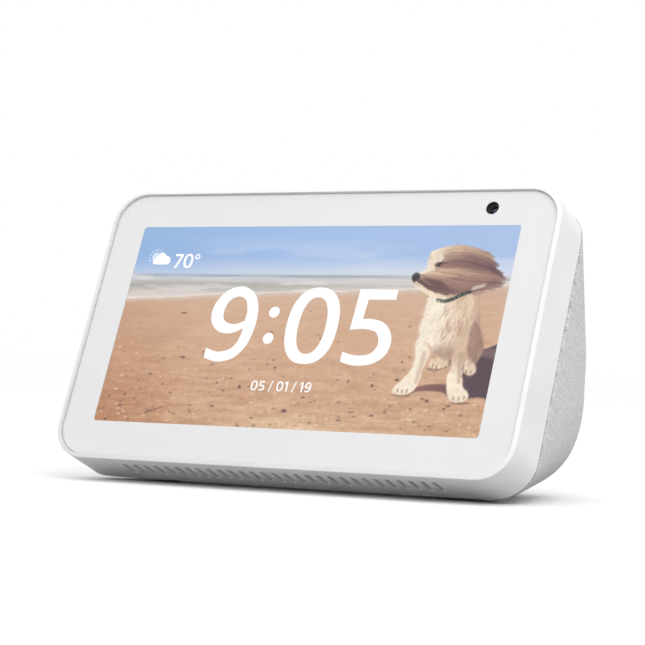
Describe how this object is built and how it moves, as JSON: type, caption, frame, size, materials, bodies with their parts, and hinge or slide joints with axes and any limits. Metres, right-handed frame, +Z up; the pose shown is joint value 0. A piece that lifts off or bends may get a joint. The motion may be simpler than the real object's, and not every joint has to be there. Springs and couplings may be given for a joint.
{
  "type": "smart display",
  "caption": "Table-top smart display: leaned touch screen in a slim white frame on a fabric-covered wedge body, with top keys, camera shutter and rear sockets.",
  "frame": {"origin": "on the plane of the rubber foot, under the middle of the body", "axes": "+X across to the viewer's right, +Y to the back, +Z up; the screen faces -Y, leaned back 22 degrees"},
  "size_m": [0.148, 0.073, 0.0864],
  "materials": {
    "frame_white": "fine satin moulded white plastic",
    "key_white": "fine satin moulded white plastic",
    "mask_white": "white ink on the back of the glass",
    "cover_glass": "polished cover glass",
    "lens_glass": "coated lens",
    "screen": "lit liquid crystal panel",
    "optic_white": "translucent optical sheet",
    "steel": "plain sheet and wire",
    "chassis_alloy": "satin pressed sheet",
    "dark_plastic": "fine matt moulded plastic",
    "housing_plastic": "moulded plastic under the fabric",
    "fabric_grey": "fine light grey knit",
    "rubber_grey": "matt rubber",
    "rubber_dark": "matt rubber and foam",
    "board_green": "solder mask over glass fibre",
    "amber_film": "polyimide flat cable",
    "copper": "enamelled winding and plated foil",
    "magnet_iron": "sintered ferrite",
    "basket_paint": "black painted pressing",
    "cone_paper": "treated paper",
    "lamp_white": "lamp strip"
  },
  "bodies": {
    "body": {"front_frame": "frame_white", "cover_glass": "cover_glass", "border_mask": "mask_white", "panel_adhesive": "rubber_dark", "lcd_panel": "screen", "diffuser_film": "optic_white", "light_guide": "optic_white", "backlight_tray": "steel", "led_strip": "lamp_white", "chassis": "chassis_alloy", "chassis_screws": "steel", "camera_barrel": "dark_plastic", "camera_lens": "lens_glass", "camera_board": "board_green", "shutter_guide": "dark_plastic", "button_switches": "dark_plastic", "button_board": "board_green", "button_board_screws": "steel", "microphones": "copper", "microphone_boots": "rubber_dark", "main_board": "board_green", "processor_shield": "steel", "wireless_module": "steel", "thermal_pad": "rubber_grey", "heat_spreader": "chassis_alloy", "main_board_screws": "steel", "display_ribbon": "amber_film", "antennas": "copper", "rear_housing": "housing_plastic", "fabric_cover": "fabric_grey", "rubber_foot": "rubber_grey", "speaker_box_front": "dark_plastic", "speaker_box_back": "dark_plastic", "speaker_gasket": "rubber_dark", "speaker_basket": "basket_paint", "speaker_magnet": "magnet_iron", "speaker_pole": "steel", "speaker_surround": "rubber_dark", "speaker_grille": "basket_paint", "speaker_screws": "steel", "port_bezel": "frame_white", "port_board": "board_green", "power_socket": "dark_plastic", "power_pin": "steel", "data_socket": "steel", "data_tongue": "dark_plastic", "audio_socket": "dark_plastic", "port_board_screws": "steel"},
    "mute_key": {"mute_button": "key_white", "mute_plunger": "rubber_grey"},
    "volume_down_key": {"volume_down_button": "key_white", "volume_down_plunger": "rubber_grey"},
    "volume_up_key": {"volume_up_button": "key_white", "volume_up_plunger": "rubber_grey"},
    "shutter": {"shutter_blade": "key_white", "shutter_knob": "key_white"},
    "cone": {"speaker_cone": "cone_paper", "dust_cap": "cone_paper", "voice_coil": "copper"}
  },
  "joints": [
    {"name": "mute_press", "type": "slide", "parent": "body", "child": "mute_key", "axis": [0, -0.3746, -0.9272], "range_m": [0, 0.0006], "stiffness_N_per_m": 1000, "springref_m": -0.0002},
    {"name": "volume_down_press", "type": "slide", "parent": "body", "child": "volume_down_key", "axis": [0, -0.3746, -0.9272], "range_m": [0, 0.0006], "stiffness_N_per_m": 1000, "springref_m": -0.0002},
    {"name": "volume_up_press", "type": "slide", "parent": "body", "child": "volume_up_key", "axis": [0, -0.3746, -0.9272], "range_m": [0, 0.0006], "stiffness_N_per_m": 1000, "springref_m": -0.0002},
    {"name": "shutter_slide", "type": "slide", "parent": "body", "child": "shutter", "axis": [-1, 0, 0], "range_m": [0, 0.006]},
    {"name": "cone_stroke", "type": "slide", "parent": "body", "child": "cone", "axis": [0, 0.9659, 0.2588], "range_m": [-0.001, 0.001], "stiffness_N_per_m": 800}
  ]
}
